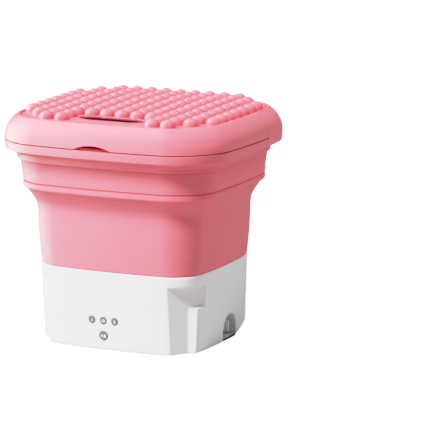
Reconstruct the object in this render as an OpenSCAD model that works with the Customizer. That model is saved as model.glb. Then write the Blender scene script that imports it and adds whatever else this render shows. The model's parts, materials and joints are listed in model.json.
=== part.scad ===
// Collapsible mini washer: drive base, folding bucket, rim with rear cowl and hinged domed lid.
// Millimetres. Origin: centre of the footprint on the floor. Z is up.
// Front (buttons) is -Y, the drain side (right, seen from the front) is +X.

/* [Base] */
// Half width of the base at the floor
base_floor_half = 102; // [98:0.5:104]
// Half width of the base at its top edge
base_top_half = 104.7; // [102:0.1:106]
// Height of the white base
base_height = 91.5; // [91.5:0.5:92]
// Wall thickness of the base shell
base_wall = 2.8; // [2.2:0.1:3]
// Plan corner radius of the base
base_corner = 29; // [26:1:32]

/* [Bucket] */
// Depth to width ratio of every ring in plan
depth_ratio = 0.92; // [0.9:0.01:0.94]
// Convexity of the plan sides
side_bulge = 0.08; // [0.05:0.01:0.09]
// Soft wall thickness
soft_wall = 2.2; // [1.8:0.1:2.4]
// Height of the bottom of the fold lip
lip_z = 179.3; // [179:0.1:180]

/* [Rim] */
// Half width of the rim and lid at the closing line
rim_half = 143.4; // [142:0.1:144]
// Height of the closing line
split_z = 236; // [235.5:0.1:236.2]
// Fore-aft position of the seam where the lid skirt ends and the rear cowl starts
seam_y = 30; // [26:1:42]

/* [Lid] */
// Height of the ridge round the lid top
ridge_z = 264.3; // [264:0.1:264.6]
// Radius of one dome
dome_r = 8.9; // [8:0.1:9.2]
// Pitch of the square dome grid
dome_pitch = 19; // [18.8:0.1:19.2]
// Rise of the dome field towards the back
crown_rise = 3.4; // [3:0.1:3.6]
// Half length of the lid slot
slot_half_length = 41.5; // [34:0.5:43]
// Fore-aft position of the slot centre
slot_y = -76.5; // [-78:0.5:-75]
// Half depth of the slot
slot_half_depth = 10.5; // [6:0.5:11]
// Height of the lid hinge axis
hinge_z = 264.6; // [264.5:0.1:265]
// Fore-aft position of the lid hinge axis
hinge_y = 119.6; // [119:0.1:120]

/* [Controls] */
// Sideways position of the button group centre
button_x = -6.3; // [-10:0.1:0]
// Spacing of the three time buttons
button_pitch = 14.4; // [13:0.1:16]
// Height of the time buttons
button_z = 34.4; // [32:0.1:38]
// Height of the start button
start_z = 16.8; // [15:0.1:18]
// Radius of a time button
button_r = 4.3; // [4:0.1:4.6]
// Radius of the start button
start_r = 5.4; // [5:0.1:5.8]

/* [Drive] */
// Gear module
gear_module = 1; // [1:1:1]
// Teeth of the motor pinion
pinion_teeth = 14; // [14:1:14]
// Teeth of the large idler wheel
idler_big_teeth = 42; // [42:1:42]
// Teeth of the small idler wheel
idler_small_teeth = 16; // [16:1:16]
// Teeth of the drive gear
drive_teeth = 48; // [48:1:48]
// Radius of the pulsator disc
pulsator_r = 58; // [54:1:60]

/* [Drain] */
// Fore-aft position of the drain arch
arch_y = 13; // [11:1:15]
// Half width of the drain arch
arch_r = 18; // [16:1:18]
// Height of the spout axis
spout_z = 16; // [15:1:17]
// Sideways position of the drain downpipe
pipe_x = 66; // [65.8:0.1:66.4]

/* [Hidden] */
$fn = 48;

pink = [0.93, 0.55, 0.60];
dark_pink = [0.86, 0.45, 0.52];
plug_pink = [0.90, 0.62, 0.66];
white = [0.93, 0.93, 0.93];
cover_white = [0.88, 0.88, 0.88];
tub_white = [0.90, 0.90, 0.91];
pipe_white = [0.86, 0.86, 0.87];
clamp_white = [0.85, 0.85, 0.86];
carrier_grey = [0.80, 0.80, 0.80];
button_grey = [0.62, 0.62, 0.63];
can_grey = [0.55, 0.56, 0.58];
box_grey = [0.30, 0.31, 0.33];
box_cover_grey = [0.36, 0.37, 0.39];
magnet_grey = [0.25, 0.25, 0.27];
steel = [0.72, 0.73, 0.75];
brass = [0.78, 0.62, 0.30];
ivory = [0.92, 0.90, 0.84];
black = [0.12, 0.12, 0.13];
board_green = [0.10, 0.35, 0.20];
wire_red = [0.65, 0.12, 0.12];

// ---- shared sizes and places ---------------------------------------------------
// The four points [+-x, +-y].
function quad(x, y) = [for (side = [-1, 1], end = [-1, 1]) [side*x, end*y]];

COVER_POSTS = [[-84, -69], [-84, 69], [76, 69], [58, -76]];
CLAMP_SCREWS = concat(quad(95.1, 25), quad(30, 87.2));
RIM_SCREWS = concat(quad(118.4, 40), quad(45, 108.4));
BOX_SCREWS = [[-12, 33], [-12, -33], [-74, 19], [-74, -19]];

// Drive train: the shaft stands on the origin, idler and motor lie towards -X
idler_x = -gear_module*(drive_teeth + idler_small_teeth)/2;
motor_x = idler_x - gear_module*(idler_big_teeth + pinion_teeth)/2;
MOTOR_SCREWS = [[motor_x, -8], [motor_x, 8]];
shaft_r = 4;
box_z = 35.8;
box_wall = 2.4;
box_cover_z = 58;
bearing_r = 8;

// Buttons: [x, z, radius], three time buttons left to right, then start
BUTTONS = [
  for (i = [-1:1]) [button_x + i*button_pitch, button_z, button_r],
  [button_x, start_z, start_r]];
jack_x = 45;
jack_z = 26;
jack_r = 5.4;

// Drain
arch_x = 78;
arch_centre_z = 31 - arch_r;
pipe_r = 8.4;
pipe_bore = 6;

// ---- rods, rings and screws ----------------------------------------------------
// Cylinders along each axis, starting at the given coordinate
module rod_z(z, r, h) { translate([0, 0, z]) cylinder(r = r, h = h); }
module rod_x(x, r, h) { translate([x, 0, 0]) rotate([0, 90, 0]) cylinder(r = r, h = h); }
module rod_front(y, r, h) { translate([0, y, 0]) rotate([90, 0, 0]) cylinder(r = r, h = h); }
module rod_back(y, r, h) { translate([0, y, 0]) rotate([-90, 0, 0]) cylinder(r = r, h = h); }
// Upright cylinders at a list of plan points
module posts(places, z, r, h) {
  for (p = places) translate([p[0], p[1], 0]) rod_z(z, r, h);
}
module washer(z, outer_r, inner_r, h) {
  difference() {
    rod_z(z, outer_r, h);
    rod_z(z - 1, inner_r, h + 2);
  }
}
// Head and shank are each [z, radius, height].
module screw(head, shank) {
  rod_z(head[0], head[1], head[2]);
  rod_z(shank[0], shank[1], shank[2]);
}
// Block centred in plan that cuts a driver slot
module driver_slot(length, width, z, depth) {
  translate([-length/2, -width/2, z]) cube([length, width, depth]);
}

// ---- plan sections and lofts ---------------------------------------------------
corner_steps = 8;
side_steps = 3;
ring_points = 4*(corner_steps + 1 + side_steps);

function polar(r, angle) = [r*cos(angle), r*sin(angle)];
// Pushes a point of a straight-sided rectangle outwards to bow its sides.
function bow(p, half_x, half_y) = [
  p[0]*(1 + side_bulge*(1 - (p[1]/half_y)*(p[1]/half_y))),
  p[1]*(1 + side_bulge*(1 - (p[0]/half_x)*(p[0]/half_x)))];
// Rounded rectangle with convex sides, of true half width half_width.
function section(half_width, corner_r) =
  let(
    half_x = half_width/(1 + side_bulge),
    half_y = half_width*depth_ratio/(1 + side_bulge),
    cx = half_x - corner_r,
    cy = half_y - corner_r,
    centres = [[cx, cy], [-cx, cy], [-cx, -cy], [cx, -cy]])
  [for (q = [0:3]) each concat(
    [for (i = [0:corner_steps])
      bow(centres[q] + polar(corner_r, 90*q + 90*i/corner_steps), half_x, half_y)],
    let(
      arm = polar(corner_r, 90*q + 90),
      start = centres[q] + arm,
      end = centres[(q + 1)%4] + arm)
    [for (j = [1:side_steps])
      bow(start + (end - start)*j/(side_steps + 1), half_x, half_y)])];

// A level is [z, half width, corner radius].
function rings(levels) =
  [for (l = levels) each [for (p = section(l[1], l[2])) [p[0], p[1], l[0]]]];
// Triangles between two rings
function skin(lower, upper) =
  let(a = lower*ring_points, b = upper*ring_points)
  [for (i = [0:ring_points - 1]) let(next = (i + 1)%ring_points) each
    [[a + i, b + next, a + next], [a + i, b + i, b + next]]];
function inset(levels, d) = [for (l = levels) [l[0], l[1] - d, l[2] - d]];

// Solid through a list of levels, bottom to top
module loft(levels) {
  top = len(levels) - 1;
  polyhedron(points = rings(levels), faces = concat(
    [[for (i = [0:ring_points - 1]) i]],
    [for (k = [0:top - 1]) each skin(k, k + 1)],
    [[for (i = [ring_points - 1:-1:0]) top*ring_points + i]]));
}
// Ring whose closed cross-section is the list of levels, outer side going up
module band(levels) {
  count = len(levels);
  polyhedron(points = rings(levels),
    faces = [for (k = [0:count - 1]) each skin(k, (k + 1)%count)]);
}
module prism(half_width, corner_r, z0, z1) {
  translate([0, 0, z0]) linear_extrude(z1 - z0) polygon(section(half_width, corner_r));
}

// ---- profile tables: [z, half width, corner radius] ----------------------------
function base_half(z) = base_floor_half + (base_top_half - base_floor_half)*z/base_height;

BASE = [
  [0.6, base_floor_half - 1.8, base_corner - 1],
  [2.6, base_floor_half - 0.5, base_corner],
  for (z = [5, 45, 88.5]) [z, base_half(z), base_corner],
  [90.7, base_top_half - 0.3, base_corner],
  [base_height, base_top_half - 1.2, base_corner - 1]];
WALL = [
  [base_height + 0.2, 104.2, 29], [105, 105.6, 29.5], [119, 106.8, 30], [135, 107.7, 31],
  [152, 108.2, 32], [158, 109, 33], [163, 110.4, 34], [168, 112.8, 35],
  [172.5, 115.5, 36], [lip_z - 0.3, 119.4, 38]];
UPPER_BAND = [
  // outer side, going up
  [lip_z, 121.2, 38.5], [lip_z + 1.4, 123.1, 39.6], [183.4, 123.9, 40], [186.6, 123.6, 40],
  [188.1, 122.5, 39.4], [189.7, 123.9, 40], [200, 124.8, 40.2], [212, 126.3, 40.3],
  [223.4, 127, 40.3],
  // inner side, going down
  [223.4, 124.3, 38], [212, 123.6, 38], [200, 122.1, 38], [184.2, 121, 38],
  [182.4, 119.9, 37.6], [182.1, 117.6, 36], [lip_z, 117.9, 36.4]];
RIM = [
  // outer side, going up to the closing line
  [214, 129.2, 42], [217, 129.8, 42.5], [221, 132.8, 45], [224, 137.6, 48.5],
  [226.4, 141, 51], [230, rim_half - 0.8, 52], [split_z - 0.1, rim_half, 52],
  // upstand inside the lid
  [split_z - 0.1, 139, 49], [241, 138.4, 48.6], [241, 136, 47],
  // inner side, going down
  [232.5, 135.6, 46.6], [228.4, 132.4, 44], [226, 128.8, 41], [226, 114.5, 32],
  [223.6, 114.5, 32], [223.6, 127.2, 40.4], [214, 127.2, 40.4]];
LID = [
  [split_z + 0.3, rim_half, 52], [241, rim_half - 0.2, 52], [246, rim_half - 1.1, 51.5],
  [250.5, rim_half - 2.9, 50.5], [254.5, rim_half - 5.3, 49], [258.2, rim_half - 8.2, 47],
  [261.4, rim_half - 11.3, 45], [263.4, rim_half - 13.7, 43.5],
  [ridge_z, rim_half - 15.4, 42.5]];
COWL_INNER = concat(
  [[split_z - 1, rim_half - 2.8, 49.4]],
  inset([for (l = LID) if (l[0] < 262) [l[0] - 0.9*max(0, l[0] - 256)/5, l[1], l[2]]], 2.6),
  [[262, rim_half - 15.6, 42]]);
LID_INNER = concat(
  [[split_z - 1, rim_half - 2.6, 49.4]],
  inset([for (l = LID) if (l[0] < 256 && l[0] > 238) l], 2.6),
  [[258.8, rim_half - 11.8, 44]]);

// ---- base ----------------------------------------------------------------------
// Plan of the recess at the front right corner: [x, y, x growth, y growth],
// the growths being the shift of each point for one unit of growth.
RECESS_LOWER = [
  [72.9, -130, -0.851, 0], [72.9, -91.2, -0.851, 0.524], [88, -66.7, -0.703, 0.765],
  [115, -53.07, -0.45, 0.892], [115, -130, 0, 0]];
RECESS_UPPER = [
  [72.9, -130, -0.851, 0], [72.9, -91.2, -0.851, 0.524], [88, -66.7, -0.859, 0.511],
  [104.5, -38, -0.867, 0.498], [130, -38, 0, 0.498], [130, -130, 0, 0]];
function grown(outline, d) = [for (p = outline) [p[0] + p[2]*d, p[1] + p[3]*d]];

// Recess at the front right corner, grown by d; its upper part reaches further back.
module corner_cut(d) {
  translate([0, 0, -1]) linear_extrude(54 + d) polygon(grown(RECESS_LOWER, d));
  translate([0, 0, 53 - d]) linear_extrude(26 + 2*d) polygon(grown(RECESS_UPPER, d));
}
// Sloped undercut at the rear right foot, grown by d; the outline is [y, z].
module foot_cut(d) {
  translate([84 - d, 0, 0]) rotate([90, 0, 90]) linear_extrude(50)
    polygon([[31 - d, -2], [31 - d, 0.6 + d], [64, 11.2 + d], [130, 11.2 + d], [130, -2]]);
}
// Arched recess round the drain spout, open to the right, grown by d
module arch(d) {
  r = arch_r + d;
  translate([arch_x - d, arch_y, arch_centre_z]) rod_x(0, r, 60);
  translate([arch_x - d, arch_y - r, -2]) cube([60, 2*r, arch_centre_z + 2]);
}
module button_holes() {
  for (b = BUTTONS) translate([b[0], 0, b[1]]) rod_front(-80, b[2] + 0.1, 20);
}

module base_housing() color(white) difference() {
  union() {
    // shell, walled round the recesses
    difference() {
      loft(BASE);
      difference() {
        loft([for (z = [-1, 88.6])
          [z, base_half(max(z, 0)) - base_wall, base_corner - base_wall]]);
        corner_cut(base_wall);
        foot_cut(base_wall);
        arch(2.6);
      }
    }
    // screw posts, each with a web out to the wall
    intersection() {
      loft(BASE);
      for (p = COVER_POSTS) translate([p[0], p[1], 6.1]) {
        cylinder(r = 4.2, h = 52);
        rotate([0, 0, atan2(p[1], p[0])]) translate([0, -1.2, 0]) cube([30, 2.4, 52]);
      }
    }
  }
  prism(90, 16, 85, 95);
  corner_cut(0);
  foot_cut(0);
  arch(0);
  translate([60, arch_y, spout_z]) rod_x(0, pipe_r + 0.05, 30);
  button_holes();
  translate([jack_x, 0, jack_z]) rod_back(80, jack_r + 0.1, 20);
  posts(COVER_POSTS, 5, 1.52, 14);
  posts(CLAMP_SCREWS, 80, 1.02, 20);
  // step under the front left corner
  translate([-130, -120, -1]) cube([50, 62, 6.2]);
}
module base_bottom_cover() color(cover_white) difference() {
  loft([
    [2, base_floor_half - base_wall - 0.4, base_corner - base_wall],
    [6, base_floor_half - base_wall - 0.3, base_corner - base_wall]]);
  // clear the drain arch and the front right, front left and rear right corners
  translate([73.5, arch_y - 22, 0]) cube([60, 44, 10]);
  corner_cut(base_wall + 0.4);
  translate([-130, -120, 0]) cube([46.5, 70, 10]);
  translate([80.9, 27.8, 0]) cube([50, 90, 10]);
  posts(COVER_POSTS, 0, 1.6, 10);
  posts(COVER_POSTS, 0, 3.3, 4);
  // row of slots in the middle
  for (i = [-3:3]) translate([i*9 - 1.5, -20, 0]) cube([3, 40, 10]);
}
module rubber_feet() color(black) for (p = quad(64, 52)) translate([p[0], p[1], 0])
  rotate_extrude() polygon([[0, 0], [7, 0], [8, 1], [8, 2], [0, 2]]);
module bottom_cover_screws() color(steel) for (p = COVER_POSTS) translate([p[0], p[1], 0])
  difference() {
    screw(head = [2.4, 3, 1.6], shank = [3.5, 1.5, 14]);
    driver_slot(4, 0.8, 2, 1.2);
    driver_slot(0.8, 4, 2, 1.2);
  }

// ---- bucket --------------------------------------------------------------------
module tub_floor() color(tub_white) difference() {
  union() {
    // sunken pan with a flange that rests on the base
    difference() {
      union() {
        loft([[68, 82, 18], [70, 84.5, 18], [76, 87.5, 17], [base_height + 0.01, 89.7, 15.8]]);
        prism(98, 24, base_height + 0.01, 93.3);
      }
      loft([[70.6, 79, 16], [72.6, 81.8, 16], [77, 85, 15], [94, 87.2, 13.6]]);
    }
    // bosses for the shaft seal, the drain pipe and the gearbox screws
    rod_z(66.4, 12.5, 8.6);
    translate([pipe_x, arch_y, 0]) rod_z(60, 10.8, 9);
    posts(BOX_SCREWS, 60.8, 4, 8);
  }
  cylinder(r = 9, h = 100);
  translate([pipe_x, arch_y, 0]) {
    rod_z(50, pipe_r + 0.05, 17.9);
    rod_z(50, pipe_bore, 30);
  }
  posts(CLAMP_SCREWS, 85, 1.1, 10);
  posts(BOX_SCREWS, 55, 1.52, 11.6);
}
module bucket_clamp_ring() color(clamp_white) difference() {
  band([[93.75, 94, 21], [93.75, 101.4, 27], [96.2, 101.4, 27], [96.8, 100.8, 26.5],
    [96.8, 94.4, 21.5]]);
  posts(CLAMP_SCREWS, 90, 1.1, 10);
  posts(CLAMP_SCREWS, 95, 2.3, 10);
}
module clamp_ring_screws() color(steel) for (p = CLAMP_SCREWS) translate([p[0], p[1], 0])
  difference() {
    screw(head = [95, 2, 1.4], shank = [86, 1, 9.5]);
    driver_slot(2.6, 0.6, 95.8, 1);
  }
// The inner side follows the outer one down, then turns in to the clamped foot.
module bucket_wall() color(pink) band(concat(
  WALL,
  inset([for (i = [len(WALL) - 1:-1:1]) WALL[i]], soft_wall),
  [[94.3, 104.4 - soft_wall, 27], [93.7, 101.8, 26.5], [93.7, 98.8, 24.5],
    [base_height + 0.2, 98.8, 24.5]]));

// ---- gears ---------------------------------------------------------------------
pressure_angle = 20;
backlash = 0.10;
flank_steps = 4;

// Involute function of an angle in degrees, in radians
function involute(angle) = tan(angle) - angle*PI/180;
// Involute outline, first tooth centred on the +X axis, thinned by the backlash.
function gear_outline(teeth) =
  let(
    pitch_r = gear_module*teeth/2,
    involute_r = pitch_r*cos(pressure_angle),
    tip_r = pitch_r + gear_module*0.95,
    root_r = pitch_r - 1.22*gear_module,
    half_tooth = 180/PI*((PI*gear_module/2 - backlash)/2/pitch_r + involute(pressure_angle)),
    root_spread = involute_r > root_r ? 0.35*180/teeth/4 : 0,
    flank_r = max(involute_r, root_r + 0.05),
    // one side of a tooth, root to tip: [radius, angle from the tooth centre]
    side = concat(
      [[root_r, half_tooth + root_spread]],
      [for (s = [0:flank_steps]) let(r = flank_r + (tip_r - flank_r)*s/flank_steps)
        [r, half_tooth - 180/PI*involute(acos(min(1, involute_r/r)))]]))
  [for (i = [0:teeth - 1]) each concat(
    [for (p = side) polar(p[0], 360*i/teeth - p[1])],
    [for (j = [len(side) - 1:-1:0]) polar(side[j][0], 360*i/teeth + side[j][1])])];
module gear(teeth, z, h, phase = 0) {
  translate([0, 0, z]) rotate([0, 0, phase]) linear_extrude(h) polygon(gear_outline(teeth));
}

module motor_pinion() color(brass) translate([motor_x, 0, 0]) difference() {
  gear(pinion_teeth, 40.2, 5.2, phase = 180/pinion_teeth);
  rod_z(39.2, 1.52, 9);
}
module idler_gear() color(ivory) translate([idler_x, 0, 0]) difference() {
  union() {
    gear(idler_big_teeth, 38.9, 6.4);
    gear(idler_small_teeth, 45.2, 9.9, phase = 180/idler_small_teeth);
    rod_z(55, 4, 2.5);
  }
  rod_z(30, 2.03, 40);
}
module drive_gear() color(ivory) difference() {
  union() {
    gear(drive_teeth, 47, 7.6);
    rod_z(40, 8.5, 17.6);
  }
  cylinder(r = shaft_r + 0.02, h = 90);
  for (i = [0:5]) rotate([0, 0, 60*i]) translate([15, 0, 40]) cylinder(r = 4, h = 20);
}

// ---- gearbox -------------------------------------------------------------------
// Outline round the drive gear, idler and pinion, grown by d
module box_plan(d) {
  hull() {
    circle(r = 27 + d);
    translate([idler_x, 0]) circle(r = 24 + d);
    translate([motor_x, 0]) circle(r = 11 + d);
  }
}
module box_cavity() {
  translate([0, 0, box_z + box_wall]) linear_extrude(30) box_plan(0);
}
// Round screw lugs, each joined to the box by a square block
module screw_lugs(z, h) {
  posts(BOX_SCREWS, z, 4, h);
  for (p = BOX_SCREWS) translate([p[0] - 3, p[1] - sign(p[1])*4 - 3, z]) cube([6, 6, h]);
}

module gearbox_housing() color(box_grey) difference() {
  union() {
    difference() {
      translate([0, 0, box_z]) linear_extrude(box_cover_z - box_z) box_plan(box_wall);
      box_cavity();
    }
    rod_z(30, 10.5, 8.2);
    translate([idler_x, 0, 0]) rod_z(box_z, 4.5, 2.8);
    screw_lugs(50, 8);
  }
  // clear the lugs out of the cavity but leave the idler boss
  difference() {
    box_cavity();
    translate([idler_x, 0, 0]) rod_z(30, 4.5, 8.6);
  }
  cylinder(r = bearing_r, h = 50);
  translate([idler_x, 0, 0]) rod_z(30, 2, 10);
  translate([motor_x, 0, 0]) rod_z(30, 5.1, 10);
  posts(MOTOR_SCREWS, 30, 1.6, 10);
  posts(BOX_SCREWS, 40, 1.6, 30);
}
module gearbox_cover() color(box_cover_grey) difference() {
  union() {
    translate([0, 0, box_cover_z]) linear_extrude(box_wall) box_plan(box_wall);
    rod_z(box_cover_z, 10.5, 8);
    screw_lugs(box_cover_z, box_wall);
  }
  cylinder(r = bearing_r, h = 80);
  translate([idler_x, 0, 0]) rod_z(50, 2, 9.4);
  posts(BOX_SCREWS, 40, 1.6, 30);
}
module gearbox_screws() color(steel) for (p = BOX_SCREWS) translate([p[0], p[1], 0])
  difference() {
    screw(head = [48.2, 2.8, 1.8], shank = [49.9, 1.5, 16]);
    driver_slot(4, 0.7, 47.9, 1.2);
  }
module bushing(z, h) { washer(z, bearing_r - 0.02, shaft_r + 0.04, h); }
module lower_bushing() color(brass) bushing(30.6, 7.5);
module upper_bushing() color(brass) bushing(58.4, 7.6);
module shaft_seal() color(black) rotate_extrude() polygon([
  [4.05, 67.2], [8.98, 67.2], [8.98, 74.6], [7.4, 74.6], [6.2, 71.4], [4.9, 73.6],
  [4.05, 73.2]]);
module idler_pin() color(steel) translate([idler_x, 0, 0]) rod_z(36, 1.98, 23.2);
module drive_shaft() color(steel) difference() {
  rod_z(29.2, shaft_r, 54.6);
  rod_z(72, 2, 13);
  // circlip groove
  washer(29.8, 5, 3.5, 0.7);
}
module shaft_circlip() color(steel) difference() {
  washer(29.85, 5.6, 3.55, 0.6);
  translate([0, -1.2, 28.85]) cube([8, 2.4, 3]);
}

// ---- motor ---------------------------------------------------------------------
can_z = 12;
can_bore = 16.6;
magnet_r = 16.5;

module motor_can() color(can_grey) difference() {
  translate([motor_x, 0, 0]) difference() {
    union() {
      rod_z(can_z, 18, box_z - can_z);
      rod_z(35.7, 5, 2.6);
    }
    rod_z(11, can_bore, 23.2);
    rod_z(30, 1.54, 12);
  }
  posts(MOTOR_SCREWS, 30, 1.3, 10);
}
module motor_end_cap() color(black) translate([motor_x, 0, 0]) difference() {
  union() {
    rod_z(9.4, 17.6, 2.6);
    rod_z(can_z, 16.5, 1.6);
    for (side = [-1, 1]) translate([-1, side*11 - 1.5, 7]) cube([2, 3, 3]);
    rod_z(8, 4.5, 4);
  }
  rod_z(9, 1.54, 9);
}
// Ring parted by a gap at the front and back
module motor_magnets() color(magnet_grey) translate([motor_x, 0, 0]) difference() {
  washer(15, magnet_r, 13.6, 17);
  for (side = [-1, 1]) translate([-4, side*15 - 6, 14]) cube([8, 12, 20]);
}
module motor_screws() color(steel) for (p = MOTOR_SCREWS) translate([p[0], p[1], 0])
  screw(head = [38.3, 2.3, 1.5], shank = [34.6, 1.25, 4]);
module motor_rotor() color(steel) translate([motor_x, 0, 0]) {
  rod_z(9.6, 1.5, 36);
  rod_z(15.5, 12.6, 15);
  rod_z(31, 4, 2.6);
}

// ---- pulsator ------------------------------------------------------------------
module vane() {
  rotate([90, 0, 90]) translate([0, 0, 12]) linear_extrude(41) polygon([
    [-6, 78], [6, 78], [4.2, 84], [2.2, 88.4], [0, 89.6], [-2.2, 88.4], [-4.2, 84]]);
}
module pulsator() color(white) difference() {
  union() {
    rotate_extrude($fn = 96) polygon([
      [0, 76.4], [54, 76.4], [pulsator_r, 77.6], [pulsator_r, 79.4], [pulsator_r - 2.5, 80.8],
      [44, 81.6], [20, 84], [14, 90.4], [12, 91.2], [0, 91.2]]);
    for (i = [0:5]) rotate([0, 0, 60*i]) vane();
  }
  // shaft socket, screw hole and cap recess
  rod_z(70, shaft_r + 0.02, 13.9);
  rod_z(80, 2.2, 10);
  rod_z(85.4, 8, 10);
  // hollow underside round the hub
  difference() {
    rod_z(70, 50, 8.4);
    rod_z(60, 14, 30);
  }
}
module pulsator_screw() color(steel) difference() {
  screw(head = [85.4, 4.5, 2.4], shank = [73, 1.98, 13]);
  translate([0, 0, 86.4]) cylinder(r = 1.6, h = 3, $fn = 6);
}
module pulsator_cap() color(pink) difference() {
  rotate_extrude() polygon([
    [0, 88.2], [7.9, 88.2], [7.9, 91.25], [11.4, 91.25], [10.4, 93.2], [6.5, 94.8], [0, 95.4]]);
  rod_z(87, 5.4, 3.4);
}

// ---- controls ------------------------------------------------------------------
// Button with a flange and a stem behind it; reach is how far forward its face stands.
module push_button(button, reach) {
  color(button_grey) translate([button[0], 0, button[1]]) {
    rod_front(-88.4, button[2], reach - 88.4);
    rod_front(-87.2, button[2] + 1, 1.2);
    rod_front(-85.2, 1.5, 2.2);
  }
}
module button_1_min() push_button(BUTTONS[0], reach = 94.95);
module button_10_min() push_button(BUTTONS[1], reach = 95.15);
module button_5_min() push_button(BUTTONS[2], reach = 95.15);
module button_start() push_button(BUTTONS[3], reach = 94.7);
module button_carrier() color(carrier_grey) difference() {
  translate([button_x - 32, -90.2, 8]) cube([64, 1.4, 38]);
  button_holes();
}
module control_board() color(board_green) translate([button_x, 0, 0]) difference() {
  union() {
    translate([-31, -81.6, 8.5]) cube([62, 1.6, 37]);
    // three blocks on the back of the board
    translate([14, -80, 12]) cube([14, 9, 9]);
    translate([-26, -80, 14]) cube([9, 3, 9]);
    translate([-24, -80, 30]) cube([12, 7, 6]);
  }
  for (p = quad(27.5, 15.5)) translate([p[0], 0, 27 + p[1]]) rod_back(-90, 1.4, 20);
}
module tact_switches() color(black) for (b = BUTTONS) translate([b[0], 0, b[1]]) {
  translate([-3, -84, -3]) cube([6, 2.4, 6]);
  rod_front(-83.5, 1.4, 0.8);
}
module dc_power_jack() color(black) translate([jack_x, 0, jack_z]) difference() {
  union() {
    rod_back(78, jack_r, 16.2);
    translate([-6, 76, -6]) cube([12, 12, 12]);
    rod_back(93.9, 6.6, 1.1);
  }
  // socket with its centre pin left standing
  difference() {
    rod_back(84.5, 2.75, 20);
    rod_back(80, 1.0, 14.4);
  }
}
// Rotation that turns +Z to a step along one axis
function aim(step) =
  abs(step[2]) > 0 ? [step[2] > 0 ? 0 : 180, 0, 0]
  : abs(step[0]) > 0 ? [0, step[0] > 0 ? 90 : -90, 0]
  : [step[1] > 0 ? -90 : 90, 0, 0];
// Cable through a list of points, every run along one axis
module cable(path, r = 1.2) {
  for (i = [0:len(path) - 2]) let(step = path[i + 1] - path[i])
    translate(path[i]) rotate(aim(step)) cylinder(r = r, h = norm(step));
  for (i = [1:len(path) - 2]) translate(path[i]) sphere(r = r*1.25);
}
module wiring_harness() color(wire_red) {
  // board to motor
  cable([[-24, -72.95, 33], [-24, -62, 33], [-24, -62, 7.9], [motor_x, -62, 7.9],
    [motor_x, -12.6, 7.9]]);
  // board to power jack
  cable([[14, -70.95, 16], [14, -60, 16], [14, -60, 9], [jack_x, -60, 9], [jack_x, 68, 9],
    [jack_x, 68, jack_z], [jack_x, 75.95, jack_z]]);
}

// ---- drain ---------------------------------------------------------------------
module drain_pipe() color(pipe_white) translate([pipe_x, arch_y, spout_z]) difference() {
  union() {
    rod_z(0, pipe_r, 67.8 - spout_z);
    rod_x(0, pipe_r, 79.6 - pipe_x);
    rod_x(0, 8, 92 - pipe_x);
    sphere(r = pipe_r);
    rod_x(74.2 - pipe_x, 10, 1.1);
  }
  rod_z(0, pipe_bore, 60);
  rod_x(0, pipe_bore, 40);
  sphere(r = pipe_bore);
}
module drain_gasket() color(black) translate([arch_x + 0.1, arch_y, spout_z])
  rotate([0, 90, 0]) washer(0, 11, pipe_r + 0.02, 1.4);
module drain_sill() color(black) intersection() {
  loft([
    [1.6, base_floor_half - 2.2, base_corner - 1],
    [2.6, base_floor_half - 0.9, base_corner],
    [3.8, base_floor_half - 0.8, base_corner]]);
  translate([arch_x + 0.05, arch_y - arch_r + 0.05, 0]) cube([40, 2*arch_r - 0.1, 10]);
}
module drain_strainer() color(steel) translate([pipe_x, arch_y, 0]) difference() {
  union() {
    rod_z(70.65, 7.6, 1.1);
    rod_z(67, 5.9, 4);
  }
  rod_z(66, 5.2, 4.6);
  // slots cut to lengths that fill a circle
  for (i = [-2:2]) let(half_length = sqrt(22 - 4*i*i))
    translate([i*2 - 0.5, -half_length, 60]) cube([1, 2*half_length, 20]);
}
module drain_plug() color(plug_pink) translate([0, arch_y, spout_z]) difference() {
  union() {
    rod_x(79, pipe_bore - 0.05, 13.1);
    rotate([0, 90, 0]) rotate_extrude()
      polygon([[0, 92.05], [7.3, 92.05], [7.3, 94.2], [6.5, 95.2], [0, 95.2]]);
    translate([95, -1.4, -6]) cube([5.6, 2.8, 12]);
  }
  rod_x(70, 4.2, 18);
}

// ---- lid hinge -----------------------------------------------------------------
// Places children at x spans of one length, mirrored to both sides
module hinge_spans(starts, length) {
  for (side = [-1, 1], start = starts)
    translate([side > 0 ? start : -start - length, 0, 0]) children();
}
module hinge_rod(x, r, length) { translate([0, hinge_y, hinge_z]) rod_x(x, r, length); }
// A rod on the hinge axis at the middle of each of the two hinges
module hinge_pair(r, length) {
  for (side = [-1, 1]) hinge_rod(side*46 - length/2, r, length);
}
module lid_hinge_pins() color(steel) hinge_pair(1.48, 32);

// ---- upper ring ----------------------------------------------------------------
module rim_ring() color(pink) difference() {
  union() {
    band(RIM);
    // rear cowl, flush with the lid
    intersection() {
      difference() {
        loft(concat([[split_z - 0.2, rim_half, 52]], LID));
        loft(COWL_INNER);
        prism(rim_half - 14.2, 42.8, 255, 275);
      }
      translate([-160, seam_y + 0.3, split_z - 0.2]) cube([320, 120, 40]);
    }
    // outer hinge knuckles
    hinge_spans([30, 56.4], 5.4) {
      hinge_rod(0, 3, 5.4);
      translate([0, hinge_y - 0.6, 258]) cube([5.4, 2.6, 6]);
    }
  }
  // room for the lid knuckles
  hinge_spans([35.6], 20.6) {
    hinge_rod(0, 3.7, 20.6);
    translate([0, hinge_y - 5, 258.9]) cube([20.6, 4.4, 10]);
  }
  hinge_pair(1.5, 34);
  posts(RIM_SCREWS, 220, 1.6, 10);
}
module bucket_upper_band() color(pink) band(UPPER_BAND);
module rim_clamp_ring() color(clamp_white) difference() {
  band([[206, 120.7, 36.5], [206, 122.5, 37.6], [212, 123.3, 37.8], [223.5, 124.1, 37.9],
    [223.5, 114.6, 32], [221.4, 114.6, 32], [221.4, 121.6, 36.4], [212, 121.2, 36.6]]);
  posts(RIM_SCREWS, 210, 1.5, 20);
}
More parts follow.
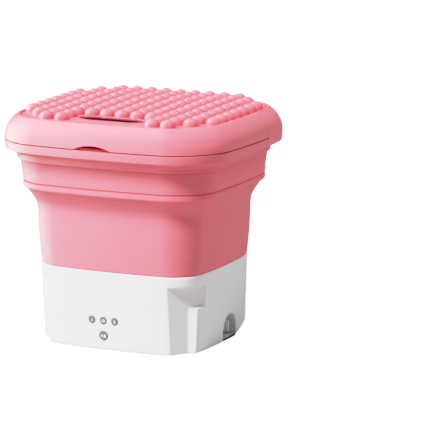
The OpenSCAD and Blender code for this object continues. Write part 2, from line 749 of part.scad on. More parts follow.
module rim_screws() color(steel) for (p = RIM_SCREWS) translate([p[0], p[1], 0])
  difference() {
    screw(head = [226.05, 2.8, 1.7], shank = [219, 1.48, 7.5]);
    driver_slot(4, 0.7, 227, 2);
  }

// ---- lid -----------------------------------------------------------------------
notch_r = 41.5;
notch_rise = 6.4;

// Slot outline, grown by d: round ends that widen to the full depth further in
module slot_plan(d) {
  translate([-2, 0]) hull() for (side = [-1, 1]) {
    translate([side*(slot_half_length - 6), slot_y]) circle(r = 6 + d, $fn = 32);
    for (end = [-1, 1])
      translate([side*(slot_half_length - 16), slot_y + end*(slot_half_depth - 4)])
        circle(r = 4 + d, $fn = 32);
  }
}
// Everything in front of the given y, at lid height
module front_part(y) { translate([-160, -160, 200]) cube([320, 160 + y, 100]); }

module lid_shell() color(pink) difference() {
  union() {
    // skirt in front of the seam, and the whole top
    intersection() {
      loft(LID);
      union() {
        front_part(seam_y - 0.3);
        prism(rim_half - 14.8, 42.5, 258.8, 275);
      }
    }
    hinge_spans([36], 19.8) {
      hinge_rod(0, 3, 19.8);
      translate([0, hinge_y - 4, 259.4]) cube([19.8, 3, 4.6]);
    }
  }
  loft(LID_INNER);
  // seat of the dome panel
  prism(rim_half - 18.6, 39.5, 261.2, 275);
  translate([0, 0, 250]) linear_extrude(30) slot_plan(1.2);
  // shallow arched notch in the middle of the front edge
  translate([0, -200, split_z + notch_rise - notch_r]) rotate([-90, 0, 0])
    cylinder(r = notch_r, h = 100, $fn = 96);
  // room for the rim knuckles
  hinge_spans([29.6, 56], 6.2) hinge_rod(0, 3.7, 6.2);
  hinge_pair(1.54, 22);
}

// Domes stand in rows -5 (front) to 5 (back) and columns either side of the middle.
function last_column(row) = 6 - max(0, abs(row) - 3);
// Half width left to a dome; the end columns stand close to the ridge.
function dome_half(column, row) = abs(column) < 6 ? 10 : abs(row) == 3 ? 7.4 : 7.9;
function smooth_step(t) = let(u = max(0, min(1, t))) u*u*(3 - 2*u);
// How far a dome rises over the flat pad: more towards the back, less at the edges.
function crown(x, y) =
  (1 - pow(x/127, 6))*(1 - pow(y/119, 8))*(0.3 + crown_rise*smooth_step((y + 90)/150));

module dome(column, row) {
  x = column*dome_pitch;
  y = row*dome_pitch;
  half = dome_half(column, row);
  intersection() {
    translate([x, y, 262.5 + crown(x, y)]) sphere(r = dome_r);
    translate([x - half, y - 10, 262]) cube([2*half, 20, 16]);
  }
}
module lid_dome_panel() color(dark_pink) difference() {
  union() {
    prism(rim_half - 19, 39.2, 261.25, 262.8);
    // the two front rows leave the slot free
    for (row = [-5:5], column = [-last_column(row):last_column(row)])
      if (row > -4 || abs(column) > 2) dome(column, row);
  }
  translate([0, 0, 250]) linear_extrude(30) slot_plan(1.25);
  translate([0, 0, 262.82]) linear_extrude(20) slot_plan(2.3);
}
module lid_slot_bezel() color(pink) translate([0, 0, 257.4]) difference() {
  union() {
    linear_extrude(6.2) slot_plan(1.15);
    translate([0, 0, 5.5]) linear_extrude(0.8) slot_plan(2.2);
  }
  translate([0, 0, -1]) linear_extrude(30) slot_plan(0);
}
module lid_seal() color(dark_pink) intersection() {
  band([[241.3, 135.4, 46.5], [241.3, 139.9, 49], [243.6, 139.6, 49], [243.2, 137, 47.6]]);
  front_part(seam_y - 1.5);
}

base_housing();
base_bottom_cover();
rubber_feet();
bottom_cover_screws();
tub_floor();
bucket_wall();
bucket_clamp_ring();
clamp_ring_screws();
gearbox_housing();
gearbox_cover();
gearbox_screws();
lower_bushing();
upper_bushing();
shaft_seal();
idler_pin();
motor_can();
motor_end_cap();
motor_magnets();
motor_screws();
control_board();
tact_switches();
button_carrier();
dc_power_jack();
wiring_harness();
drain_pipe();
drain_gasket();
drain_strainer();
drain_sill();
pulsator();
pulsator_screw();
pulsator_cap();
drive_shaft();
drive_gear();
shaft_circlip();
idler_gear();
motor_rotor();
motor_pinion();
button_1_min();
button_10_min();
button_5_min();
button_start();
drain_plug();
rim_ring();
bucket_upper_band();
rim_clamp_ring();
rim_screws();
lid_hinge_pins();
lid_shell();
lid_dome_panel();
lid_slot_bezel();
lid_seal();
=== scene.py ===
"""A round-cornered bucket with a soft side wall, a lid with a domed pad and a base with buttons.

It stands upright on the floor at z = 0, with its front towards -Y, its right side towards +X
and the lid hinge at the back. Shapes are worked out in mm and scaled by MM into metres;
the stage, light and camera are in metres.
"""
import bpy, bmesh, json, math
import numpy as np
from contextlib import contextmanager
from mathutils import Vector, Matrix


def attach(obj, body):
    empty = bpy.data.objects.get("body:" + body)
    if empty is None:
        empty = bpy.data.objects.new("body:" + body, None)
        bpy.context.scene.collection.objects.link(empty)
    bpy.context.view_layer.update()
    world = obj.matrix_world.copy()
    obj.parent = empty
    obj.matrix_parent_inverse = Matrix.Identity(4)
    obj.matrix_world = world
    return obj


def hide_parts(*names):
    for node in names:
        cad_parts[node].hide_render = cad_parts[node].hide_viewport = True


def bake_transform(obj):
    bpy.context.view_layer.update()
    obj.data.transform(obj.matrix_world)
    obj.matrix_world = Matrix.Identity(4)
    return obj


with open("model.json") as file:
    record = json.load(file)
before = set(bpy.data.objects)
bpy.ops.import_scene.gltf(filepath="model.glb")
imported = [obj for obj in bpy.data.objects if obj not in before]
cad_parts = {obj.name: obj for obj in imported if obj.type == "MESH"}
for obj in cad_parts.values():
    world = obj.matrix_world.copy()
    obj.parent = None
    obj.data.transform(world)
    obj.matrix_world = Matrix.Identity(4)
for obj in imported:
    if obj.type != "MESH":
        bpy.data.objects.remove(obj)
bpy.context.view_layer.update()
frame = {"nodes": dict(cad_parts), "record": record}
scene = bpy.context.scene
MM = 0.001

# ------------------------------------------------------------------ plan section
DEPTH_RATIO = 0.92  # half depth over half width
BULGE = 0.08        # how far the sides swell, as a share of the half width
CORNER_RADII = [    # half widths, then the corner radius at each
    [0, 98, 102, 104.7, 106, 108, 110, 113, 116, 119.4, 122, 127, 129, 133, 138.6, 141, 143.4, 160],
    [8, 24, 27.6, 29, 29.8, 31.2, 33.4, 35, 36.4, 38, 39.3, 40.6, 42, 45, 48.6, 51, 52, 60]]


def clamp01(value):
    return min(1.0, max(0.0, value))


def section(half_width, corner=None, side_points=24, corner_points=14):
    """Counter-clockwise plan outline with rounded corners and convex sides."""
    radius = float(np.interp(half_width, *CORNER_RADII)) if corner is None else corner
    flat_x = half_width / (1 + BULGE)
    flat_y = half_width * DEPTH_RATIO / (1 + BULGE)
    radius = min(radius, flat_x * 0.98, flat_y * 0.98)
    cx, cy = flat_x - radius, flat_y - radius
    centres = np.array([(cx, cy), (-cx, cy), (-cx, -cy), (cx, -cy)])
    points = []
    for quarter in range(4):
        centre, following = centres[quarter], centres[(quarter + 1) % 4]
        for i in range(corner_points + 1):
            t = math.radians(90 * quarter + 90 * i / corner_points)
            arm = radius * np.array([math.cos(t), math.sin(t)])
            points.append(centre + arm)
        for j in range(1, side_points + 1):
            points.append(centre + arm + (following - centre) * j / (side_points + 1))
    points = np.array(points)
    x, y = points[:, 0].copy(), points[:, 1].copy()
    points[:, 0] = x * (1 + BULGE * (1 - (y / flat_y) ** 2))
    points[:, 1] = y * (1 + BULGE * (1 - (x / flat_x) ** 2))
    return points


# ------------------------------------------------------------------ profiles
def fillet(corners, steps=5):
    """Rounds the corners (half width, z, radius) of a profile."""
    out = []
    for i, (x, z, radius) in enumerate(corners):
        corner = np.array([x, z], float)
        if radius <= 0:
            out.append(corner)
            continue
        before = np.array(corners[i - 1][:2], float) - corner
        after = np.array(corners[(i + 1) % len(corners)][:2], float) - corner
        before_length, after_length = np.linalg.norm(before), np.linalg.norm(after)
        before, after = before / before_length, after / after_length
        angle = math.acos(max(-1, min(1, before @ after)))
        if angle > math.pi - 0.02:  # almost straight
            out.append(corner)
            continue
        reach = min(radius / math.tan(angle / 2), before_length * 0.49, after_length * 0.49)
        start, end = corner + before * reach, corner + after * reach
        for k in range(steps + 1):
            t = k / steps
            out.append((1 - t) ** 2 * start + 2 * t * (1 - t) * corner + t * t * end)
    return np.array(out)


def spline(points, steps):
    """Catmull-Rom curve through the points, with the given steps in each span."""
    P = np.array(points, float)
    P = np.vstack([2 * P[0] - P[1], P, 2 * P[-1] - P[-2]])
    out = []
    for i in range(1, len(P) - 2):
        p0, p1, p2, p3 = P[i - 1:i + 3]
        for k in range(steps):
            t = k / steps
            out.append(0.5 * (2 * p1 + (p2 - p0) * t + (2 * p0 - 5 * p1 + 4 * p2 - p3) * t * t
                              + (3 * p1 - p0 - 3 * p2 + p3) * t ** 3))
    out.append(P[-2])
    return np.array(out)


def inner_side(curve, thickness):
    """An upward curve moved inwards by a thickness and run back downwards."""
    along = np.gradient(curve, axis=0)
    normal = np.c_[-along[:, 1], along[:, 0]] / np.linalg.norm(along, axis=1)[:, None]
    return (curve + normal * thickness)[::-1]


# ------------------------------------------------------------------ mesh helpers
@contextmanager
def editing(mesh):
    bm = bmesh.new()
    bm.from_mesh(mesh)
    yield bm
    bm.to_mesh(mesh)
    bm.free()


def link_object(name, data):
    obj = bpy.data.objects.new(name, data)
    scene.collection.objects.link(obj)
    return obj


def object_from_bmesh(name, bm):
    mesh = bpy.data.meshes.new(name)
    bm.to_mesh(mesh)
    bm.free()
    return link_object(name, mesh)


def mesh_object(name, verts, faces):
    """Object from vertices in mm."""
    mesh = bpy.data.meshes.new(name)
    mesh.from_pydata([tuple(v) for v in np.array(verts, float) * MM], [], faces)
    mesh.validate()
    mesh.update()
    return link_object(name, mesh)


def fix_normals(obj):
    with editing(obj.data) as bm:
        bmesh.ops.recalc_face_normals(bm, faces=bm.faces)


def solid(name, verts, faces):
    obj = mesh_object(name, verts, faces)
    fix_normals(obj)
    return obj


def shade(obj, sharp):
    """Smooth shading, with edges over the sharp angle (degrees) kept crisp."""
    mesh = obj.data
    mesh.polygons.foreach_set("use_smooth", [True] * len(mesh.polygons))
    limit = math.radians(sharp)
    with editing(mesh) as bm:
        for edge in bm.edges:
            edge.smooth = not (len(edge.link_faces) == 2 and edge.calc_face_angle(0) > limit)
    mesh.update()


def bridge(a, b, n):
    """Quads between two rings of n vertices that start at a and b."""
    return [(a + i, a + (i + 1) % n, b + (i + 1) % n, b + i) for i in range(n)]


def fan(a, n, apex):
    return [(a + i, a + (i + 1) % n, apex) for i in range(n)]


def sweep(name, profile, side_points, corner_points, capped=False):
    """Plan sections along a profile of (half width, z): a closed loop, or capped at both ends."""
    n, count = 4 * (side_points + corner_points + 1), len(profile)
    rings = [np.c_[section(a, None, side_points, corner_points), np.full(n, z)]
             for a, z in profile]
    faces = []
    for k in range(count - 1 if capped else count):
        faces += bridge(k * n, (k + 1) % count * n, n)
    if capped:
        faces.append(tuple(range(n - 1, -1, -1)))
        faces.append(tuple(range((count - 1) * n, count * n)))
    return solid(name, np.vstack(rings), faces)


def align_z(origin, axis):
    """Matrix that takes +Z to the axis and the zero point to an origin in mm."""
    turn = Vector((0, 0, 1)).rotation_difference(Vector(axis))
    return Matrix.Translation(Vector(origin) * MM) @ turn.to_matrix().to_4x4()


def cylinder(name, start, axis, radius, length, segments=64):
    bm = bmesh.new()
    bmesh.ops.create_cone(bm, cap_ends=True, segments=segments, radius1=radius * MM,
                          radius2=radius * MM, depth=length * MM)
    middle = Vector(start) + Vector(axis) * length / 2
    bmesh.ops.transform(bm, matrix=align_z(middle, axis), verts=bm.verts)
    return object_from_bmesh(name, bm)


def lathe(name, profile, origin, axis, segments):
    """Solid of revolution of (radius, height) points; the first and last are on the axis."""
    n = segments
    verts = [(0, 0, profile[0][1])]
    for radius, height in profile[1:-1]:
        for i in range(n):
            t = 2 * math.pi * i / n
            verts.append((radius * math.cos(t), radius * math.sin(t), height))
    verts.append((0, 0, profile[-1][1]))
    faces = [(0, 1 + (i + 1) % n, 1 + i) for i in range(n)]
    for k in range(len(profile) - 3):
        faces += bridge(1 + k * n, 1 + (k + 1) * n, n)
    faces += fan(len(verts) - 1 - n, n, len(verts) - 1)
    obj = mesh_object(name, verts, faces)
    obj.data.transform(align_z(origin, axis))
    fix_normals(obj)
    return obj


def prism(name, outline, z0, z1):
    n = len(outline)
    verts = [(x, y, z) for z in (z0, z1) for x, y in outline]
    faces = [tuple(range(n - 1, -1, -1)), tuple(range(n, 2 * n))] + bridge(0, n, n)
    return solid(name, verts, faces)


def box(name, x0, x1, y0, y1, z0, z1):
    return prism(name, [(x0, y0), (x1, y0), (x1, y1), (x0, y1)], z0, z1)


def mesh_from_curve(curve):
    obj = link_object(curve.name, curve)
    bpy.context.view_layer.update()
    depsgraph = bpy.context.evaluated_depsgraph_get()
    mesh = bpy.data.meshes.new_from_object(obj.evaluated_get(depsgraph))
    bpy.data.objects.remove(obj)
    return mesh


def cut_across(obj, y, keep_front):
    """Keeps a closed mesh in front of or behind a plane across Y (metres) and closes the cut."""
    with editing(obj.data) as bm:
        bmesh.ops.bisect_plane(bm, geom=bm.verts[:] + bm.edges[:] + bm.faces[:], dist=1e-7,
                               plane_co=(0, y, 0), plane_no=(0, 1, 0),
                               clear_outer=keep_front, clear_inner=not keep_front)
        bmesh.ops.holes_fill(bm, edges=[e for e in bm.edges if e.is_boundary], sides=0)
        bmesh.ops.recalc_face_normals(bm, faces=bm.faces)


def join(objects, name):
    bm = bmesh.new()
    for obj in objects:
        bm.from_mesh(obj.data)
        bpy.data.objects.remove(obj)
    return object_from_bmesh(name, bm)


def apply_modifiers(obj):
    bpy.context.view_layer.update()
    depsgraph = bpy.context.evaluated_depsgraph_get()
    mesh = bpy.data.meshes.new_from_object(obj.evaluated_get(depsgraph))
    obj.modifiers.clear()
    old = obj.data
    obj.data = mesh
    bpy.data.meshes.remove(old)


def subtract(obj, *cutters):
    for cutter in cutters:
        modifier = obj.modifiers.new("subtract", "BOOLEAN")
        modifier.operation = "DIFFERENCE"
        modifier.object = cutter
        modifier.solver = "MANIFOLD"
        apply_modifiers(obj)
        bpy.data.objects.remove(cutter)


# ------------------------------------------------------------------ materials
def new_material(name):
    material = bpy.data.materials.new(name)
    material.use_nodes = True
    tree = material.node_tree
    return material, tree, tree.nodes["Principled BSDF"]


def add_node(tree, kind, inputs=None, **settings):
    node = tree.nodes.new("ShaderNode" + kind)
    for key, value in settings.items():
        setattr(node, key, value)
    set_inputs(node, inputs or {})
    return node


def set_inputs(node, values):
    for key, value in values.items():
        node.inputs[key].default_value = value


def add_noise(tree, vector, scale, detail):
    noise = add_node(tree, "TexNoise", {"Scale": scale, "Detail": detail})
    tree.links.new(vector, noise.inputs["Vector"])
    return noise.outputs["Fac"]


def add_ramp(tree, value, *stops):
    """Colour ramp with two (position, RGB) stops."""
    ramp = add_node(tree, "ValToRGB")
    for element, (position, color) in zip(ramp.color_ramp.elements, stops):
        element.position, element.color = position, [*color, 1]
    tree.links.new(value, ramp.inputs["Fac"])
    return ramp.outputs["Color"]


def add_remap(tree, value, from_range, to_range, interpolation="LINEAR"):
    node = add_node(tree, "MapRange", {
        "From Min": from_range[0], "From Max": from_range[1],
        "To Min": to_range[0], "To Max": to_range[1]}, interpolation_type=interpolation)
    tree.links.new(value, node.inputs["Value"])
    return node.outputs["Result"]


def add_bump(tree, shader, height, strength, distance):
    bump = add_node(tree, "Bump", {"Strength": strength, "Distance": distance})
    tree.links.new(height, bump.inputs["Height"])
    tree.links.new(bump.outputs["Normal"], shader.inputs["Normal"])


def srgb(*levels):
    """Linear colour from 0-255 sRGB levels."""
    return [v / 255 / 12.92 if v / 255 <= 0.04045 else ((v / 255 + 0.055) / 1.055) ** 2.4
            for v in levels]


def plastic(name, color, rough, mottle, grain, bump,
            coat=0.0, sss=0.0, edge=0.0, spec=0.5, sheen=0.0, painted_shade=0.0):
    """Moulded plastic or rubber: mottled colour and gloss over a fine grain.

    mottle is the colour variation, grain and bump the scale and strength of the texture,
    edge the strength of a painted highlight on outer edges, and the last argument that of painted
    shade in hollows.
    """
    material, tree, shader = new_material(name)
    link = tree.links.new
    vector = add_node(tree, "TexCoord").outputs["Object"]
    blotches = add_noise(tree, vector, scale=22.0, detail=5)
    fine = add_noise(tree, vector, scale=grain, detail=3)
    shade_color = add_ramp(tree, blotches,
                           (0.3, [max(0, v * (1 - mottle)) for v in color]),
                           (0.7, [min(1, v * (1 + mottle) + mottle * 0.04) for v in color]))
    # painted highlight: outer edges, picked out by pointiness, are mixed towards a paler colour as
    # if they caught the light
    if edge > 0:
        pointiness = add_node(tree, "NewGeometry").outputs["Pointiness"]
        highlight_mask = add_ramp(tree, pointiness, (0.52, (0, 0, 0)), (0.62, (1, 1, 1)))
        painted_highlight_color = [min(1, v * 0.6 + 0.4) for v in color] + [1]
        mix = add_node(tree, "MixRGB", {"Color2": painted_highlight_color})
        amount = add_node(tree, "Math", {1: edge}, operation="MULTIPLY")
        link(highlight_mask, amount.inputs[0])
        link(amount.outputs[0], mix.inputs["Fac"])
        link(shade_color, mix.inputs["Color1"])
        shade_color = mix.outputs["Color"]
    # painted shade: ambient occlusion darkens and reddens hollows and dims their gloss, standing in
    # for the shade under overhangs and between domes
    if painted_shade > 0:
        occlusion = add_node(tree, "AmbientOcclusion", {"Distance": 0.030}, samples=4)
        openness, hollow_to_open = occlusion.outputs["AO"], (0.50, 0.96)
        amount = add_remap(tree, openness, hollow_to_open, (painted_shade, 0.0))
        gloss = add_remap(tree, openness, hollow_to_open, (spec * (1 - painted_shade), spec))
        link(gloss, shader.inputs["Specular IOR Level"])
        hollow_shade_color = [color[0] * 0.86, color[1] * 0.24, color[2] * 0.30, 1]
        mix = add_node(tree, "MixRGB", {"Color2": hollow_shade_color})
        link(amount, mix.inputs["Fac"])
        link(shade_color, mix.inputs["Color1"])
        shade_color = mix.outputs["Color"]
    link(shade_color, shader.inputs["Base Color"])
    link(add_remap(tree, blotches, (0, 1), (rough - 0.05, rough + 0.06)),
         shader.inputs["Roughness"])
    add_bump(tree, shader, fine, strength=bump, distance=0.0004)
    set_inputs(shader, {"Specular IOR Level": spec, "Coat Weight": coat, "Coat Roughness": 0.25})
    if sss > 0:
        set_inputs(shader, {"Subsurface Weight": sss, "Subsurface Radius": (1.0, 0.35, 0.35),
                            "Subsurface Scale": 0.004})
    if sheen > 0:
        set_inputs(shader, {"Sheen Weight": sheen, "Sheen Roughness": 0.5})
    return material


def metal(name, color, rough, stretch, scale):
    """Turned or brushed metal: stretched noise in colour, gloss and bump."""
    material, tree, shader = new_material(name)
    coords = add_node(tree, "TexCoord")
    mapping = add_node(tree, "Mapping", {"Scale": stretch})
    tree.links.new(coords.outputs["Object"], mapping.inputs["Vector"])
    noise = add_noise(tree, mapping.outputs["Vector"], scale=scale, detail=4)
    streaks = add_ramp(tree, noise, (0, [v * 0.8 for v in color]),
                       (1, [min(1, v * 1.12) for v in color]))
    tree.links.new(streaks, shader.inputs["Base Color"])
    tree.links.new(add_remap(tree, noise, (0, 1), (rough - 0.08, rough + 0.1)),
                   shader.inputs["Roughness"])
    add_bump(tree, shader, noise, strength=0.08, distance=0.0002)
    shader.inputs["Metallic"].default_value = 1.0
    return material


PINK = (0.98, 0.178, 0.228)
MATERIALS = {
    "lid": plastic("pink_gloss_plastic", PINK, rough=0.36, mottle=0.03, grain=700, bump=0.02,
                   coat=0.12, sss=0.10, edge=0.25, painted_shade=0.7),
    "soft": plastic("pink_soft_rubber", (0.98, 0.180, 0.230), rough=0.50, mottle=0.035,
                    grain=1100, bump=0.05, sss=0.18, edge=0.15, sheen=0.03, painted_shade=0.95),
    "dome": plastic("pink_dome_rubber", (0.98, 0.178, 0.225), rough=0.36, mottle=0.03,
                    grain=1000, bump=0.04, sss=0.12, edge=0.1, spec=0.75, painted_shade=0.3),
    # painted shade: the slot collar is the lid's pink plastic, darkened to stand in for the shade
    # inside the slot
    "collar": plastic("pink_slot_collar_painted_shade", (0.46, 0.07, 0.10), rough=0.5, mottle=0.03,
                      grain=1000, bump=0.04, painted_shade=0.5),
    "white": plastic("white_plastic", srgb(245, 243, 243), rough=0.42, mottle=0.012,
                     grain=800, bump=0.03, spec=0.35),
    "white_in": plastic("white_inner_plastic", srgb(226, 226, 228), rough=0.45, mottle=0.02,
                        grain=600, bump=0.05),
    "button": plastic("grey_button_plastic", srgb(100, 100, 103), rough=0.45, mottle=0.03,
                      grain=900, bump=0.04, spec=0.3),
    # painted shade: a near-black sheet for the shaded hollow inside the slot
    "painted_slot_shade": plastic("slot_painted_shade", (0.030, 0.005, 0.008), rough=0.9, mottle=0.15,
                    grain=700, bump=0.05, spec=0.0),
    "mark": plastic("white_ink", srgb(246, 246, 246), rough=0.5, mottle=0.01,
                    grain=900, bump=0.02),
    "dark": plastic("dark_plastic", (0.035, 0.037, 0.040), rough=0.45, mottle=0.15,
                    grain=700, bump=0.08),
    "gear": plastic("natural_nylon", (0.78, 0.74, 0.64), rough=0.42, mottle=0.05,
                    grain=500, bump=0.05, sss=0.1),
    "black": plastic("black_rubber", (0.018, 0.018, 0.018), rough=0.65, mottle=0.2,
                     grain=700, bump=0.15),
    "steel": metal("turned_steel", (0.62, 0.63, 0.65), rough=0.28, stretch=(1, 1, 40),
                   scale=300),
    "zinc": metal("zinc_plate", (0.48, 0.49, 0.51), rough=0.38, stretch=(40, 40, 1), scale=120),
    "bronze": metal("sintered_bronze", (0.58, 0.38, 0.16), rough=0.42, stretch=(1, 1, 1),
                    scale=900),
    "magnet": plastic("ferrite", (0.035, 0.034, 0.036), rough=0.6, mottle=0.2,
                      grain=400, bump=0.2),
    "board": plastic("green_board", (0.012, 0.10, 0.045), rough=0.35, mottle=0.12,
                     grain=300, bump=0.06, coat=0.3),
    "cable": plastic("red_cable", (0.42, 0.02, 0.02), rough=0.4, mottle=0.08,
                     grain=500, bump=0.05),
}
SLOT_MATERIALS = {
    "pink_shell": "lid", "pink_soft": "soft", "pink_domes": "dome", "white_shell": "white",
    "white_inner": "white_in", "grey_button": "button", "dark_plastic": "dark",
    "gear_plastic": "gear", "black_rubber": "black", "steel": "steel", "zinc_can": "zinc",
    "bronze": "bronze", "magnet": "magnet", "board": "board", "cable": "cable"}


def dress_frame():
    """Gives each loaded CAD piece the material of its slot."""
    slots = {part["node"]: part["material_slot"] for part in frame["record"]["subparts"]}
    slots["drain_plug"] = "white_inner"
    slots["rim_clamp_ring"] = "pink_shell"
    for name, obj in frame["nodes"].items():
        obj.data.materials.clear()
        obj.data.materials.append(MATERIALS[SLOT_MATERIALS[slots[name]]])
        for polygon in obj.data.polygons:
            polygon.material_index = 0


def give(obj, material, body, slot, *nodes):
    """Sets the material, the moving body and the CAD nodes an object replaces; slot is not used."""
    obj.data.materials.clear()
    obj.data.materials.append(MATERIALS[material])
    if body:
        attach(obj, body)
    if nodes:
        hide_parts(*nodes)


# ------------------------------------------------------------------ bucket
# Profiles: (half width, z), with a third column for the corner radius where there is one.
WALL_OUTER = [
    (104.3, 92.6), (105.6, 105), (106.8, 119), (107.7, 135), (108.2, 150), (109.0, 158),
    (110.6, 163.4), (113.2, 168.4), (116.2, 173), (118.9, 177.4), (119.9, 179.26)]
WALL_FOOT = [(101.9, 93.75), (98.9, 93.75), (98.9, 91.75), (103.6, 91.75), (104.1, 91.95)]
WALL_THICKNESS = 2.1
BAND = [
    (118.6, 179.3, 0.5), (121.6, 179.3, 1.6), (123.9, 182.0, 2.2), (123.9, 186.9, 0.9),
    (122.7, 188.1, 0.5), (123.9, 189.3, 0.9), (124.7, 200, 8), (126.2, 212, 8),
    (126.9, 223.3, 0.4), (124.4, 223.3, 0.3), (123.6, 212, 8), (122.1, 200, 8),
    (121.2, 186, 2), (120.2, 182.3, 0.8), (118.3, 181.6, 0.6)]


def bucket_wall():
    outer = spline(WALL_OUTER, 5)
    inner = inner_side(outer, WALL_THICKNESS)[:-3]  # stops short, to meet the foot
    wall = sweep("bucket_wall_soft", np.vstack([outer, inner, WALL_FOOT]), 26, 16)
    shade(wall, 35)
    give(wall, "soft", None, "pink_soft", "bucket_wall")
    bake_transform(wall)


def bucket_band():
    band = sweep("bucket_band_soft", fillet(BAND), 26, 16)
    shade(band, 50)
    give(band, "soft", "upper", "pink_soft", "bucket_upper_band")


# ------------------------------------------------------------------ hinge
HINGE_Y, HINGE_Z, HINGE_RADIUS = 119.6, 264.6, 3.0
LUG_STARTS, LUG_LENGTH = (30, 56.4), 5.4        # along X, on the right side
POCKET_START, POCKET_LENGTH = 35.6, 20.6        # room for a knuckle between two lugs
KNUCKLE_START, KNUCKLE_LENGTH = 36, 19.8


def low_x(side, start, length):
    """Lower X end of a span given on the right side (+1), or of its mirror image (-1)."""
    return start if side > 0 else -start - length


def hinge_barrel(x, length):
    chamfer = 0.4
    inner = HINGE_RADIUS - chamfer
    profile = [(0, 0), (inner, 0), (HINGE_RADIUS, chamfer), (HINGE_RADIUS, length - chamfer),
               (inner, length), (0, length)]
    return lathe("barrel", profile, (x, HINGE_Y, HINGE_Z), (1, 0, 0), 32)


# ------------------------------------------------------------------ rim and cowl
SHOULDER = spline([(143.4, 236.3), (143.2, 241), (142.3, 246), (140.5, 250.5), (138.1, 254.5),
                   (135.2, 258.2), (132.1, 261.4), (129.9, 263.2)], 4)
SHOULDER_INNER = inner_side(SHOULDER, 2.6)
RIM = [
    (129.2, 214.0, 0.8), (129.9, 218.4, 2), (131.8, 222.2, 2.5), (138.6, 224.6, 3),
    (142.4, 225.9, 1.0), (143.0, 230.5, 6), (143.4, 235.6, 0.5), (142.45, 235.6, 0.15),
    (142.25, 232.8, 0.2), (138.6, 232.8, 0.3), (138.2, 241, 0.6), (136.1, 241, 0.6),
    (135.6, 232.5, 2), (132.2, 228.4, 2), (128.8, 226, 1), (114.5, 226, 0.6),
    (114.5, 223.65, 0.6), (127.2, 223.65, 0.4), (127.2, 214.0, 0.5)]
COWL_TOP = [(129.45, 263.7), (129.25, 263.75), (129.15, 263.6), (129.15, 262.4),
            (129.15, 260.9)]


def rim_ring():
    """The rim, lowered at the front behind the lid's finger notch."""
    half_width, ramp, drop = 0.030, 0.004, 0.0032
    bottom, top = 0.2357, 0.2410
    rim = sweep("rim", fillet(RIM), 60, 18)
    for v in rim.data.vertices:
        if v.co.y < -0.1 and abs(v.co.x) < half_width and v.co.z > bottom:
            share = min(1.0, (half_width - abs(v.co.x)) / ramp)
            v.co.z -= drop * share * (v.co.z - bottom) / (top - bottom)
    return rim


def rim_and_cowl():
    """The rim with the fixed rear shoulder and its hinge lugs."""
    rim = rim_ring()
    cowl = sweep("cowl", np.vstack([[(143.4, 235.6)], SHOULDER, COWL_TOP, SHOULDER_INNER[5:],
                                    [(140.8, 235.6)]]), 30, 18)
    cut_across(cowl, 0.0303, keep_front=False)
    lugs = []
    for side in (-1, 1):
        for start in LUG_STARTS:
            x = low_x(side, start, LUG_LENGTH)
            lugs.append(hinge_barrel(x, LUG_LENGTH))
            lugs.append(box("lug_web", x + 0.3, x + 5.1, 119.0, 121.4, 260.0, 264.4))
    for side in (-1, 1):
        x = low_x(side, POCKET_START, POCKET_LENGTH)
        subtract(cowl, cylinder("pocket", (x, HINGE_Y, HINGE_Z), (1, 0, 0), 3.6,
                                POCKET_LENGTH, 32))
    rim = join([rim, cowl] + lugs, "rim_and_cowl")
    shade(rim, 40)
    give(rim, "lid", "upper", "pink_shell", "rim_ring")


# ------------------------------------------------------------------ lid
SKIRT_FOOT = [(143.0, 236.55), (143.33, 236.9)]
SKIRT_TOP = [(129.3, 263.7), (128.4, 264.1), (126.8, 264.2), (126.8, 259.6)]
SKIRT_INNER_FOOT = [(140.75, 236.75), (141.0, 236.55)]
PLATE_BOTTOM, PLATE_TOP, PLATE_BEVEL = 258.9, 261.2, 0.15
LID_TOP = [
    (128.5, PLATE_BOTTOM, 0.4), (128.55, 263.6, 0.7), (127.6, 264.25, 0.8),
    (125.6, 264.25, 0.8), (124.9, 263.4, 0.5), (124.8, PLATE_TOP, 0.3), (118, PLATE_TOP, 0),
    (118, PLATE_BOTTOM, 0)]
SLOT_Y = -76.5
SLOT_CIRCLES = [  # x, y, radius of the circles the slot outline wraps
    (-37.5, SLOT_Y, 6), (33.5, SLOT_Y, 6), (-27.5, -70, 4), (23.5, -70, 4), (-27.5, -83, 4),
    (23.5, -83, 4)]
SLOT_POINTS = 120


def slot_ring(grow):
    """Outline of the slot, grown outwards."""
    out = []
    for k in range(SLOT_POINTS):
        t = 2 * math.pi * (k + 0.5) / SLOT_POINTS
        ray = np.array([math.cos(t), math.sin(t)])
        x, y, radius = max(SLOT_CIRCLES, key=lambda c: c[0] * ray[0] + c[1] * ray[1] + c[2])
        out.append(np.array((x, y)) + (radius + grow) * ray)
    return np.array(out)


def lid_skirt():
    """The front shoulder, with a finger notch in its lower front edge."""
    half_width, height = 0.0220, 4.9 * MM
    bottom, top = 0.2363, 0.247  # the lift fades out from bottom to top
    skirt = sweep("skirt", np.vstack([SKIRT_FOOT, SHOULDER[2:], SKIRT_TOP, SHOULDER_INNER[7:],
                                      SKIRT_INNER_FOOT]), 96, 22)
    for v in skirt.data.vertices:
        if v.co.y < 0 and abs(v.co.x) < half_width and v.co.z < top:
            lift = height * (1 - (v.co.x / half_width) ** 2) ** 0.85
            v.co.z += lift * (top - v.co.z) / (top - bottom)
    cut_across(skirt, 0.0297, keep_front=True)
    return skirt


